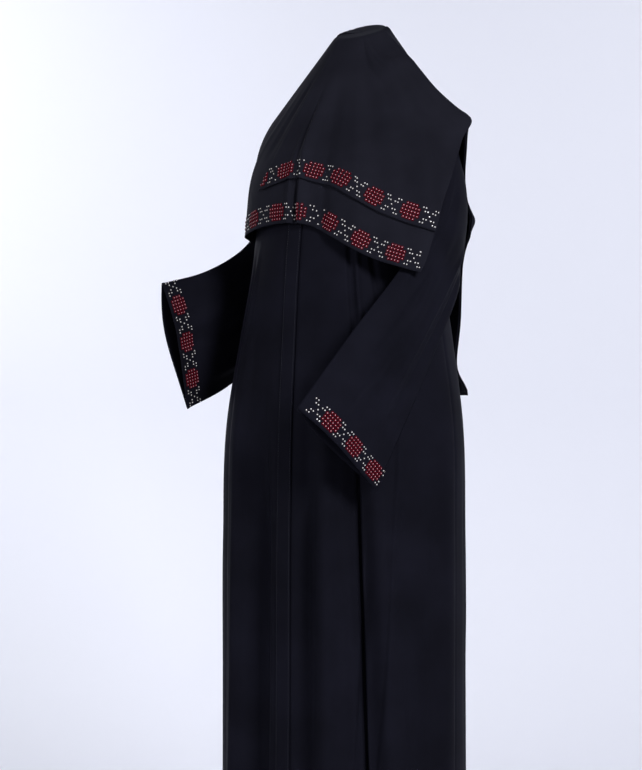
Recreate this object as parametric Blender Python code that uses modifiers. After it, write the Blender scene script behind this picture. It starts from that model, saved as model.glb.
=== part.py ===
"""A worn abaya with its matching veil: a straight robe closed by a placket down the front, two flared
sleeves, and a long rectangular veil, doubled and laid over the neck and shoulders with both ends in front.

Metres, +Z up, front towards -Y, the wearer's left towards +X. The origin is at the base of the neck, level
with the shoulders that carry the robe. Angles are in degrees round a vertical line, 0 at the front and
90 at the wearer's left.
"""

import bpy
import numpy as np

# Driving sizes.
HEM_Z = -1.40
ROBE_WALL = 0.002
VEIL_WALL = 0.0016
SEAM_GAP = 0.0012
LAYER_GAP = 0.0036
TOP_GAP = 0.0014

# Robe: half width, depth to the front and to the back of the section's centre, and that centre's y.
ROBE_COLUMNS = ("z", "half_width", "front", "back", "centre_y")
ROBE = [
    (-1.40, 0.213, 0.178, 0.182, 0.000),
    (-1.00, 0.213, 0.173, 0.174, 0.000),
    (-0.75, 0.213, 0.171, 0.168, 0.000),
    (-0.56, 0.209, 0.168, 0.158, 0.003),
    (-0.42, 0.186, 0.164, 0.148, 0.010),
    (-0.30, 0.164, 0.161, 0.138, 0.018),
    (-0.20, 0.158, 0.152, 0.126, 0.026),
    (-0.12, 0.160, 0.130, 0.106, 0.036),
    (-0.06, 0.1697, 0.086, 0.078, 0.045),
    (-0.035, 0.142, 0.077, 0.068, 0.048),
    (-0.012, 0.104, 0.072, 0.058, 0.050),
    (0.008, 0.074, 0.066, 0.050, 0.052),
]
NECK_Z = 0.008
LEVELS_ABOVE_ARMHOLE = (NECK_Z, -0.004, -0.018, -0.036, -0.050)
LEVELS_BELOW_ARMHOLE = (-0.31, -0.37, -0.44, -0.51, -0.58, -0.66, -0.76, -0.88, -1.02, -1.20, HEM_Z)
FRONT_RIGHT_COLUMNS = 20
FRONT_LEFT_COLUMNS = 24
BACK_COLUMNS = 30

# Robe's largest folds: where each lies at the waist and at the hem, where it starts and is whole, how far
# it stands out (or, with a minus, sinks in) and half its width.
FOLD_COLUMNS = ("angle_waist", "angle_hem", "z_start", "z_full", "out", "half_angle")
FOLDS = [
    (-52, -48, -0.40, -0.70, 0.004, 14),
    (-33, -32, -0.35, -0.60, 0.009, 9),
    (-18, -20, -0.55, -0.90, -0.012, 10),
    (7, 6, -0.60, -0.90, -0.008, 8),
    (21, 25, -0.45, -0.70, 0.010, 12),
    (32, 43, -0.52, -0.72, -0.018, 7),
    (41, 52, -0.60, -0.80, 0.008, 8),
    (60, 64, -0.70, -1.00, -0.006, 9),
    (84, 82, -0.55, -0.80, 0.004, 12),
    (112, 112, -0.12, -0.30, 0.008, 16),
    (134, 136, -0.45, -0.80, -0.013, 11),
    (154, 156, -0.35, -0.70, 0.011, 12),
    (178, 180, -0.50, -0.90, -0.009, 12),
    (203, 201, -0.35, -0.75, 0.012, 12),
    (227, 224, -0.45, -0.85, -0.014, 12),
    (249, 248, -0.14, -0.35, 0.012, 16),
    (275, 277, -0.60, -0.90, -0.007, 12),
]
WAIST_Z = -0.5

# Armhole: an oval on the robe's side.
ARMHOLE_TOP = -0.062
ARMHOLE_FOOT = -0.268
ARMHOLE_HALF_ANGLE = 26.0
SLEEVE_HEAD = 0.94
RING_POINTS = 16

# Placket, along the edge of the right front.
PLACKET_WIDTH = 0.026
PLACKET_OVERLAP = 0.001
PLACKET_WALL = 0.0014

# Neckband: an upright ring on the neck edge that leans in towards its top.
NECKBAND_HEIGHT = 0.016
NECKBAND_GAP = 0.0005
NECKBAND_LEAN = 0.003
NECKBAND_MIDDLE_LEAN = 0.002
NECKBAND_COLUMNS = 28

# Sleeves: the fold along the top of the arm and the seam beneath it, and how far the cloth between them
# stands out on the outer and on the inner side. The first ring is the armhole.
SLEEVE_COLUMNS = (
    "along", "top_x", "top_y", "top_z", "seam_x", "seam_y", "seam_z", "outer", "inner", "faces", "flat"
)
SLEEVE_LEFT = [
    (0.12, 0.186, 0.038, -0.098, 0.184, 0.044, -0.276, 0.034, 0.036, 155, 0.0),
    (0.30, 0.204, -0.020, -0.195, 0.192, 0.056, -0.300, 0.024, 0.016, 100, 0.2),
    (0.50, 0.171, -0.096, -0.303, 0.211, 0.017, -0.345, 0.022, 0.002, 62, 0.5),
    (0.74, 0.134, -0.199, -0.415, 0.195, -0.073, -0.490, 0.020, 0.004, 58, 0.8),
    (1.00, 0.080, -0.279, -0.536, 0.157, -0.163, -0.668, 0.018, 0.020, 56, 1.0),
]
SLEEVE_RIGHT = [
    (0.12, -0.176, 0.048, -0.102, -0.178, 0.050, -0.280, 0.032, 0.034, -155, 0.0),
    (0.34, -0.190, 0.046, -0.190, -0.192, 0.096, -0.370, 0.018, 0.016, -112, 0.2),
    (0.58, -0.212, 0.022, -0.266, -0.215, 0.078, -0.450, 0.018, 0.018, -90, 0.5),
    (0.80, -0.236, -0.066, -0.296, -0.232, -0.012, -0.506, 0.018, 0.018, -95, 0.8),
    (1.00, -0.262, -0.160, -0.328, -0.251, -0.100, -0.541, 0.013, 0.015, -101, 1.0),
]
SLEEVE_ROWS = 13

# Veil: the level neck top that it lies on, and for each direction from there the shoulder or bust where
# it turns downwards, and how far out it hangs at the level of LOW_Z.
TOP_CENTRE = (0.0, 0.0625, 0.106)
TOP_RADIUS = 0.046
TOP_TILT = 0.40
TOP_FLATTENING = 0.14
TOP_ROUNDING = 0.007
LOW_Z = -0.60
TURN_LENGTH = 0.055
TOP_ROWS = (0.0, 0.036, 0.046, 0.056)
DOWN_SHARES = (0.13, 0.25, 0.37, 0.50, 0.63, 0.76, 0.88, 1.0)
SPREAD_LENGTH = 0.08
VEIL_COLUMNS = ("angle", "turn_r", "turn_z", "low_r")
VEIL = [
    (-180, 0.112, -0.120, 0.140),
    (-150, 0.130, -0.110, 0.165),
    (-120, 0.170, -0.085, 0.215),
    (-90, 0.202, -0.070, 0.268),
    (-76, 0.192, -0.080, 0.246),
    (-62, 0.187, -0.094, 0.240),
    (-40, 0.196, -0.140, 0.240),
    (-20, 0.198, -0.155, 0.240),
    (0, 0.199, -0.160, 0.238),
    (15, 0.203, -0.165, 0.250),
    (30, 0.213, -0.165, 0.272),
    (45, 0.226, -0.155, 0.298),
    (60, 0.236, -0.125, 0.298),
    (74, 0.240, -0.098, 0.262),
    (84, 0.232, -0.074, 0.244),
    (95, 0.203, -0.068, 0.218),
    (107, 0.181, -0.074, 0.196),
    (120, 0.167, -0.088, 0.188),
    (150, 0.134, -0.110, 0.168),
    (180, 0.112, -0.120, 0.140),
]

# Where each end of the veil stops: its front hem's height by direction, the corner that its side edge
# starts from on the shoulder, and the corner at the fold behind.
HEM_COLUMNS = ("angle", "upper_z", "lower_z")
HEMS = [
    (-180, -0.505, -0.500),
    (-140, -0.505, -0.500),
    (-125, -0.440, -0.430),
    (-108, -0.330, -0.310),
    (-90, -0.262, -0.255),
    (-60, -0.220, -0.256),
    (-40, -0.184, -0.247),
    (-20, -0.167, -0.235),
    (-4, -0.156, -0.234),
    (6, -0.161, -0.239),
    (15, -0.169, -0.254),
    (28, -0.195, -0.281),
    (42, -0.222, -0.302),
    (62, -0.250, -0.322),
]
SHOULDER_CORNER = (0.225, 0.045, -0.061)
UPPER_CORNER = (0.2067, -0.060, -0.2485)
LOWER_CORNER = (0.1997, -0.085, -0.3154)
FOLD_CORNER = (0.145, 0.190, -0.505)

# The upper end is turned under along a line down its right side.
TURNED_COLUMNS = ("along", "angle")
TURNED_EDGE = [(0.0, -44), (0.15, -38), (0.45, -27), (0.80, -27.5), (1.0, -31.5)]
UPPER_FIRST_ANGLE = -31.5
UPPER_LAST_ANGLE = 214.0
TURNED_FADE_ANGLE = 40.0

# Columns in each stretch of a layer, from one corner or named direction to the next.
LOWER_STRETCHES = (5, 6, 4, 13, 1, 5, 6, 5)
UPPER_STRETCHES = (13, 1, 5, 6, 5, 4)

# Soft folds of the veil: direction, where each starts and ends on the way down, how far out, half angle.
VEIL_FOLD_COLUMNS = ("angle", "start", "end", "out", "half_angle")
VEIL_FOLDS = [
    (-4, 0.30, 1.20, 0.006, 8),
    (9, 0.25, 1.20, -0.005, 10),
    (36, 0.15, 0.60, -0.006, 11),
    (56, 0.15, 0.70, 0.005, 10),
    (-55, 0.30, 1.20, -0.005, 12),
    (-68, 0.78, 1.20, 0.012, 20),
    (128, 0.45, 1.20, -0.006, 12),
    (158, 0.40, 1.20, 0.008, 13),
    (184, 0.45, 1.20, -0.008, 12),
    (208, 0.40, 1.20, 0.008, 12),
]
VEIL_FOLD_RISE = 0.35
SLOPE_REACH = 0.004

CLOTH = (0.012, 0.012, 0.020, 1.0)
CLOTH_ROUGHNESS = 0.78


def column(table, columns, name):
    return np.array([row[columns.index(name)] for row in table], float)


def curve(at, knots, values):
    """A smooth curve through the table's values, level past its ends."""
    at = np.clip(at, knots[0], knots[-1])
    slopes = np.gradient(values, knots)
    i = np.clip(np.searchsorted(knots, at, side="right") - 1, 0, len(knots) - 2)
    span = knots[i + 1] - knots[i]
    s = (at - knots[i]) / span
    start = (1 + 2 * s) * (1 - s) ** 2 * values[i] + s * (1 - s) ** 2 * span * slopes[i]
    end = s**2 * (3 - 2 * s) * values[i + 1] + s**2 * (s - 1) * span * slopes[i + 1]
    return start + end


def ramp(at, start, end):
    """0 at the start, 1 at the end, eased between."""
    s = np.clip((at - start) / (end - start), 0.0, 1.0)
    return s * s * (3 - 2 * s)


def bump(at, centre, half_width):
    """1 at the centre, falling to 0 at half_width on either side; angles go round."""
    away = (at - centre + 180.0) % 360.0 - 180.0
    return 0.5 * (1 + np.cos(np.pi * np.clip(away / half_width, -1, 1)))


def robe_point(angle, z, out=0.0):
    """Points of the robe's outer face, moved out by a distance."""
    levels = column(ROBE, ROBE_COLUMNS, "z")
    half_width, front, back, centre_y = (
        curve(z, levels, column(ROBE, ROBE_COLUMNS, name)) for name in ROBE_COLUMNS[1:]
    )
    turn = np.radians(angle)
    depth = np.where(np.cos(turn) > 0, front, back)
    stand = np.zeros_like(angle) + out
    for waist, hem, start, full, height, half_angle in FOLDS:
        lean = waist + (hem - waist) * ramp(-z, -WAIST_Z, -HEM_Z)
        stand = stand + height * ramp(-z, -start, -full) * bump(angle, lean, half_angle)
    x = half_width * np.sin(turn) + stand * np.sin(turn)
    y = centre_y - depth * np.cos(turn) - stand * np.cos(turn)
    return np.stack([x, y, z + 0 * angle], -1)


def armhole_levels():
    """Heights of the armhole's points, top to foot."""
    turn = np.linspace(0, np.pi, RING_POINTS // 2 + 1)
    middle = (ARMHOLE_TOP + ARMHOLE_FOOT) / 2
    return middle + (ARMHOLE_TOP - middle) * np.cos(turn)


def robe_levels():
    """Heights of the rows of a robe panel, which share the armhole's points."""
    return np.concatenate([LEVELS_ABOVE_ARMHOLE, armhole_levels(), LEVELS_BELOW_ARMHOLE])


def armhole_angle(z):
    """How far the armhole reaches to either side of the wearer's side line."""
    middle = (ARMHOLE_TOP + ARMHOLE_FOOT) / 2
    share = np.clip((z - middle) / (ARMHOLE_TOP - middle), -1, 1)
    return ARMHOLE_HALF_ANGLE * np.sqrt(np.clip(1 - share**2, 0, 1))


def panel_points(first_angle, last_angle, columns):
    """A robe panel between two angles, cut back round the armhole where it reaches the wearer's side."""
    z = robe_levels()[:, None]
    depth = curve(z, column(ROBE, ROBE_COLUMNS, "z"), column(ROBE, ROBE_COLUMNS, "back"))
    gap = np.degrees(SEAM_GAP / 2 / depth)
    cut = armhole_angle(z) + gap
    first = first_angle + (cut if abs(first_angle) % 180 == 90 else gap)
    last = last_angle - (cut if abs(last_angle) % 180 == 90 else gap)
    share = np.linspace(0, 1, columns)[None, :]
    return robe_point(first + (last - first) * share, z)


def sleeve_points(table, side):
    """Rings from the armhole to the cuff: outer side from the top fold to the seam, inner side back."""
    turn = np.linspace(0, 2 * np.pi, RING_POINTS, endpoint=False)
    along = np.concatenate([[0.0], column(table, SLEEVE_COLUMNS, "along")])
    middle = (ARMHOLE_TOP + ARMHOLE_FOOT) / 2
    height = middle + (ARMHOLE_TOP - middle - 2 * SEAM_GAP) * np.cos(turn)
    reach = ARMHOLE_HALF_ANGLE * SLEEVE_HEAD * np.sin(turn)
    rings = [robe_point(side * (90.0 + reach), height, SEAM_GAP)]
    for row in table:
        top = np.array(row[1:4])
        seam = np.array(row[4:7])
        rings.append(sleeve_ring(top, seam, row[7:], turn))
    rings = np.array(rings)
    at = np.linspace(0, 1, SLEEVE_ROWS)
    points = np.empty((SLEEVE_ROWS, RING_POINTS, 3))
    for k in range(RING_POINTS):
        for axis in range(3):
            points[:, k, axis] = curve(at, along, rings[:, k, axis])
    return points


def sleeve_ring(top, seam, sizes, turn):
    """One ring: an oval between the top fold and the seam, or with flat = 1 a lens with two sharp edges.
    The outer side bulges level, in the direction that it faces."""
    outer, inner, faces, flat = sizes
    away = np.array([np.sin(np.radians(faces)), -np.cos(np.radians(faces)), 0.0])
    oval = (1 - np.cos(turn)) / 2
    lens = np.where(turn <= np.pi, turn / np.pi, 2 - turn / np.pi)
    share = oval + (lens - oval) * flat
    bulge = np.where(turn <= np.pi, outer, inner) * np.sin(turn)
    return top + (seam - top) * share[:, None] + away * bulge[:, None]


def veil_profile(angle):
    """The way down from the middle of the neck top in one direction, as close points (out, height)."""
    knots = column(VEIL, VEIL_COLUMNS, "angle")
    wrapped = (angle + 180.0) % 360.0 - 180.0
    turn_r, turn_z, low_r = (
        curve(wrapped, knots, column(VEIL, VEIL_COLUMNS, name)) for name in VEIL_COLUMNS[1:]
    )
    front = np.cos(np.radians(angle))
    rim_out = TOP_RADIUS * np.sqrt(1 - TOP_FLATTENING * front**2)
    rim = np.array([rim_out, TOP_CENTRE[2] - TOP_TILT * TOP_RADIUS * front])
    turn = np.array([turn_r, turn_z])
    low = np.array([low_r, LOW_Z])
    start = np.array([0.0, TOP_CENTRE[2]])
    soft = np.linspace(0, 1, 9)[:, None]

    def rounded(before, corner, after, reach):
        a = corner + (before - corner) * reach / np.linalg.norm(before - corner)
        b = corner + (after - corner) * reach / np.linalg.norm(after - corner)
        return a * (1 - soft) ** 2 + 2 * corner * soft * (1 - soft) + b * soft**2

    edge = rounded(start, rim, turn, TOP_ROUNDING)
    shoulder = rounded(rim, turn, low, TURN_LENGTH)
    return np.concatenate([start[None], edge, shoulder, low[None]])


def straight_edge(angle, first, last):
    """Height of a straight side edge from first to last, where it passes a direction from the neck."""
    away = np.array(first[:2]) - TOP_CENTRE[:2]
    run = np.array(last[:2]) - np.array(first[:2])
    turn = np.radians(angle)
    across = np.array([np.cos(turn), np.sin(turn)])
    share = -np.dot(across, away) / np.dot(across, run)
    return first[2] + (last[2] - first[2]) * np.clip(share, 0, 1)


def direction_of(point):
    return float(np.degrees(np.arctan2(point[0], TOP_CENTRE[1] - point[1])))


def veil_edge(angle, upper):
    """Height at which a layer of the veil ends in one direction."""
    corner = UPPER_CORNER if upper else LOWER_CORNER
    wrapped = (angle + 180.0) % 360.0 - 180.0
    if direction_of(corner) < wrapped <= direction_of(SHOULDER_CORNER):
        return straight_edge(wrapped, SHOULDER_CORNER, corner)
    if direction_of(SHOULDER_CORNER) < wrapped < direction_of(FOLD_CORNER):
        return straight_edge(wrapped, SHOULDER_CORNER, FOLD_CORNER)
    if wrapped >= direction_of(FOLD_CORNER):
        return HEMS[0][1 if upper else 2]
    name = "upper_z" if upper else "lower_z"
    return float(curve(wrapped, column(HEMS, HEM_COLUMNS, "angle"), column(HEMS, HEM_COLUMNS, name)))


def way_length(way, angle, upper):
    """Distances along the way down, and how far a layer of the veil reaches on it."""
    steps = np.concatenate([[0.0], np.cumsum(np.linalg.norm(np.diff(way, axis=0), axis=1))])
    return steps, np.interp(-veil_edge(angle, upper), -way[2:, 1], steps[2:])


def row_distance(row, length):
    """The first rows cross the neck top, the rest share out the way down to the layer's edge."""
    if row < len(TOP_ROWS):
        return TOP_ROWS[row]
    return TOP_ROWS[-1] + DOWN_SHARES[row - len(TOP_ROWS)] * (length - TOP_ROWS[-1])


def veil_point(angle, row, upper):
    """A point of a veil layer, in one direction and on one row."""
    way = veil_profile(angle)
    steps, length = way_length(way, angle, upper)
    whole = way_length(way, angle, False)[1]
    at = row_distance(row, length)
    before, after = (
        np.array([np.interp(at + s, steps, way[:, 0]), np.interp(at + s, steps, way[:, 1])])
        for s in (-SLOPE_REACH, SLOPE_REACH)
    )
    tangent = (after - before) / np.maximum(np.linalg.norm(after - before), 1e-9)
    stand = (VEIL_WALL + TOP_GAP + (LAYER_GAP - TOP_GAP) * ramp(at, 0.0, SPREAD_LENGTH)) * upper
    for centre, start, end, height, half_angle in VEIL_FOLDS:
        grown = ramp(at / whole, start, min(start + VEIL_FOLD_RISE, end))
        stand = stand + height * grown * bump(angle, centre, half_angle)
    r = np.interp(at, steps, way[:, 0]) - stand * tangent[1]
    z = np.interp(at, steps, way[:, 1]) + stand * tangent[0]
    turn = np.radians(angle)
    return np.stack([TOP_CENTRE[0] + r * np.sin(turn), TOP_CENTRE[1] - r * np.cos(turn), z], -1)


def spread(stops, counts):
    """Angles between the stops, with so many steps in each stretch."""
    parts = [np.linspace(a, b, n, endpoint=False) for a, b, n in zip(stops[:-1], stops[1:], counts)]
    return np.concatenate(parts + [[stops[-1]]])


def veil_points(upper):
    """Rows outward from the neck top; the first row is its middle, all in one place."""
    lower = direction_of(LOWER_CORNER)
    corner = direction_of(UPPER_CORNER)
    shoulder = direction_of(SHOULDER_CORNER)
    fold = direction_of(FOLD_CORNER)
    rows = range(len(TOP_ROWS) + len(DOWN_SHARES))
    if not upper:
        stops = [-180, -120, -60, UPPER_FIRST_ANGLE, lower, corner, shoulder, fold, 180]
        angles = spread(stops, LOWER_STRETCHES)[:-1]
        return np.array([[veil_point(a, row, upper) for a in angles] for row in rows])
    stops = [UPPER_FIRST_ANGLE, lower, corner, shoulder, fold, 180, UPPER_LAST_ANGLE]
    angles = spread(stops, UPPER_STRETCHES)
    length = way_length(veil_profile(angles[0]), angles[0], upper)[1]
    along = np.array([row_distance(row, length) for row in rows]) / length
    knots = column(TURNED_EDGE, TURNED_COLUMNS, "along")
    first = curve(along, knots, column(TURNED_EDGE, TURNED_COLUMNS, "angle"))
    fade = np.clip((TURNED_FADE_ANGLE - angles) / (TURNED_FADE_ANGLE - angles[0]), 0, 1)
    columns = []
    for angle, share in zip(angles, fade):
        shifted = angle + (first - angles[0]) * share
        columns.append(np.array([veil_point(a, row, upper) for a, row in zip(shifted, rows)]))
    return np.stack(columns, 1)


def material(name, colour, roughness):
    made = bpy.data.materials.new(name)
    made.use_nodes = True
    shader = made.node_tree.nodes["Principled BSDF"]
    shader.inputs["Base Color"].default_value = colour
    shader.inputs["Roughness"].default_value = roughness
    shader.inputs["Metallic"].default_value = 0.0
    return made


def add_wall(name, points, wall, collection, closed=False, pole=False):
    """One piece: the outer face as a net of points, rows down and columns round, with a wall behind it."""
    rows, columns = points.shape[:2]
    keep = points[1:] if pole else points
    places = keep.reshape(-1, 3)
    count = columns if closed else columns - 1
    i, j = np.meshgrid(np.arange(len(keep) - 1), np.arange(count), indexing="ij")
    following = (j + 1) % columns
    corners = [i * columns + j, (i + 1) * columns + j, (i + 1) * columns + following, i * columns + following]
    faces = np.stack(corners, -1).reshape(-1, 4).tolist()
    if pole:
        places = np.concatenate([places, points[0, :1]])
        faces += [[len(places) - 1, k, (k + 1) % columns] for k in range(count)]
    mesh = bpy.data.meshes.new(name)
    mesh.from_pydata(places.tolist(), [], faces)
    mesh.shade_smooth()
    mesh.materials.append(material(name + "_crepe", CLOTH, CLOTH_ROUGHNESS))
    piece = bpy.data.objects.new(name, mesh)
    collection.objects.link(piece)
    solid = piece.modifiers.new("wall", "SOLIDIFY")
    solid.thickness = wall
    solid.offset = -1.0
    solid.use_even_offset = True
    solid.use_quality_normals = True
    return piece


def add_robe(collection):
    add_wall("front_right", panel_points(-90.0, 0.0, FRONT_RIGHT_COLUMNS), ROBE_WALL, collection)
    add_wall("front_left", panel_points(0.0, 90.0, FRONT_LEFT_COLUMNS), ROBE_WALL, collection)
    add_wall("back", panel_points(90.0, 270.0, BACK_COLUMNS), ROBE_WALL, collection)


def add_placket(collection):
    """A strip on the right front's edge, just over the closing."""
    z = robe_levels()[:, None]
    levels = column(ROBE, ROBE_COLUMNS, "z")
    half_width = curve(z, levels, column(ROBE, ROBE_COLUMNS, "half_width"))
    across = np.array([-PLACKET_WIDTH, -PLACKET_WIDTH / 2, PLACKET_OVERLAP])[None, :]
    angle = np.degrees(np.arcsin(across / half_width))
    points = robe_point(angle, z, SEAM_GAP + PLACKET_WALL)
    add_wall("placket", points, PLACKET_WALL, collection)


def add_neckband(collection):
    """A narrow upright binding that stands on the neck edge."""
    angle = np.linspace(0, 360, NECKBAND_COLUMNS, endpoint=False)[None, :]
    edge = robe_point(angle, np.array([[NECK_Z]]))[0]
    centre = np.array([0.0, column(ROBE, ROBE_COLUMNS, "centre_y")[-1], 0.0])
    inward = (centre - edge) * [1, 1, 0]
    inward = inward / np.linalg.norm(inward, axis=1)[:, None]
    foot = edge + [0, 0, NECKBAND_GAP]
    middle = foot + inward * NECKBAND_MIDDLE_LEAN + [0, 0, NECKBAND_HEIGHT / 2]
    top = foot + inward * NECKBAND_LEAN + [0, 0, NECKBAND_HEIGHT]
    add_wall("neckband", np.stack([top, middle, foot]), ROBE_WALL, collection, closed=True)


def add_sleeve(name, table, side, collection):
    points = sleeve_points(table, side)
    if side < 0:
        points = points[:, ::-1]
    add_wall(name, points[:, ::-1], ROBE_WALL, collection, closed=True)


def add_veil(collection):
    add_wall("veil_lower", veil_points(False), VEIL_WALL, collection, closed=True, pole=True)
    add_wall("veil_upper", veil_points(True), VEIL_WALL, collection, pole=True)


def main():
    for old in list(bpy.data.objects):
        bpy.data.objects.remove(old)
    collection = bpy.data.collections.new("abaya")
    bpy.context.scene.collection.children.link(collection)
    add_robe(collection)
    add_placket(collection)
    add_neckband(collection)
    add_sleeve("sleeve_left", SLEEVE_LEFT, 1, collection)
    add_sleeve("sleeve_right", SLEEVE_RIGHT, -1, collection)
    add_veil(collection)


main()
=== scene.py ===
import math

import bpy
import numpy as np
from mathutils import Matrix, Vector


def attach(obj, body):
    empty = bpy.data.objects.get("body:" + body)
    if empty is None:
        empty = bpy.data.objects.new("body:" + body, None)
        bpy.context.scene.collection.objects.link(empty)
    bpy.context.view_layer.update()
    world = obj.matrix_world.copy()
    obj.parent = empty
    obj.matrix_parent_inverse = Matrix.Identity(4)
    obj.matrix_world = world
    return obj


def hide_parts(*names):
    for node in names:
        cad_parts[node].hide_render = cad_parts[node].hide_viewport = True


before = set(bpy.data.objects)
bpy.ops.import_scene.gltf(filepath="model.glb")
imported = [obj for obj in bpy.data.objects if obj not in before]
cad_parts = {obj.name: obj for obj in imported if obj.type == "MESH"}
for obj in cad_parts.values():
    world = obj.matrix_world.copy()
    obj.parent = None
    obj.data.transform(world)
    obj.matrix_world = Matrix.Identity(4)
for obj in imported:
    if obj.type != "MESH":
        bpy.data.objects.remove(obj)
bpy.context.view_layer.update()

# A worn abaya with its own veil. Its front faces -Y, the wearer's left is +X, and heights are from the
# base of the neck. Angles are degrees round an upright line, 0 at the front.

print("frame loaded:", sorted(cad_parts))

# Camera, at the photograph's viewing angle.

cameraView = {
    "turn": 31.0,  # degrees towards the wearer's left
    "distance": 3.6,
    "height": -0.5,
    "sideways": -0.0373,  # its aim, from the body's axis
    "lens": 99.3,  # mm
    "sensor": 36.0,
}


def putAimed(data, place, towards):
    # a camera or a light at a place, looking along a direction
    thing = bpy.data.objects.new(data.name, data)
    thing.location = place
    thing.rotation_euler = towards.to_track_quat("-Z", "Y").to_euler()
    bpy.context.scene.collection.objects.link(thing)
    return thing


def placeCamera(view):
    turn = math.radians(view["turn"])
    right = Vector((math.cos(turn), math.sin(turn), 0.0))
    ahead = Vector((-math.sin(turn), math.cos(turn), 0.0))
    aim = right * view["sideways"] + Vector((0.0, 0.0, view["height"]))
    camera = bpy.data.cameras.new("camera")
    camera.lens = view["lens"]
    camera.sensor_width = view["sensor"]
    bpy.context.scene.camera = putAimed(camera, aim - ahead * view["distance"], ahead)


placeCamera(cameraView)
print("camera placed")


# Curves and lengths for every piece.

creaseFade = 0.3  # share of a crease over which each end fades
creaseWaves = 7.0  # radians of its wander on the way down


def unit(vectors):
    return vectors / np.maximum(np.linalg.norm(vectors, axis=-1, keepdims=True), 1e-12)


def distances(points, axis=0):
    # how far along its line each point lies
    steps = np.linalg.norm(np.diff(points, axis=axis), axis=-1)
    return np.insert(np.cumsum(steps, axis=axis), 0, 0.0, axis=axis)


def cubic(s, span, first, firstSlope, last, lastSlope):
    # from one value to another over a span, with a slope at each end, at a share s of it
    start = (1 + 2 * s) * (1 - s) ** 2 * first + s * (1 - s) ** 2 * span * firstSlope
    end = s**2 * (3 - 2 * s) * last + s**2 * (s - 1) * span * lastSlope
    return start + end


def knotBefore(knots, at):
    return np.clip(np.searchsorted(knots, at, side="right") - 1, 0, len(knots) - 2)


def smoothCurve(at, table, column=1):
    # a column of a table over its first one: a cubic whose slope at each row comes from the rows beside it
    knots, values = table[:, 0], table[:, column]
    at = np.clip(at, knots[0], knots[-1])
    slopes = np.gradient(values, knots)
    i = knotBefore(knots, at)
    span = knots[i + 1] - knots[i]
    return cubic((at - knots[i]) / span, span, values[i], slopes[i], values[i + 1], slopes[i + 1])


def easeIn(at, start, end):
    # 0 before the start, 1 past the end, level at both
    s = np.clip((at - start) / (end - start), 0.0, 1.0)
    return s * s * (3 - 2 * s)


def ridge(at, centre, half, lop=0.0):
    # 1 on the centre line, 0 at half on one side and half * (1 + lop) on the other; goes round
    away = (at - centre + 180) % 360 - 180
    away = np.where(away > 0, away / (1 + lop), away)
    return 0.5 * (1 + np.cos(np.pi * np.clip(away / half, -1, 1)))


def doubled(hem, fromEdge):
    # how far a hem's doubled cloth stands out; its row is depth, width of the soft step and height
    depth, soft, rise = hem
    return rise * (1 - easeIn(fromEdge, depth, depth + soft))


def creaseHeights(angle, down, rows):
    # each crease leans from one angle to another on its way down, wanders a little and fades at both ends.
    # A row gives its angle above and below, start and end on the way down, out, half angle, lop and wander
    total = np.zeros(np.broadcast(angle, down).shape)
    for fromAngle, toAngle, start, end, out, half, lop, wander in rows:
        share = np.clip((down - start) / (end - start), 0, 1)
        line = fromAngle + (toAngle - fromAngle) * share + wander * np.sin(share * creaseWaves + fromAngle)
        fade = easeIn(share, 0.0, creaseFade) * (1 - easeIn(share, 1 - creaseFade, 1.0))
        total += out * fade * ridge(angle, line, half, lop)
    return total


# Robe.

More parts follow.
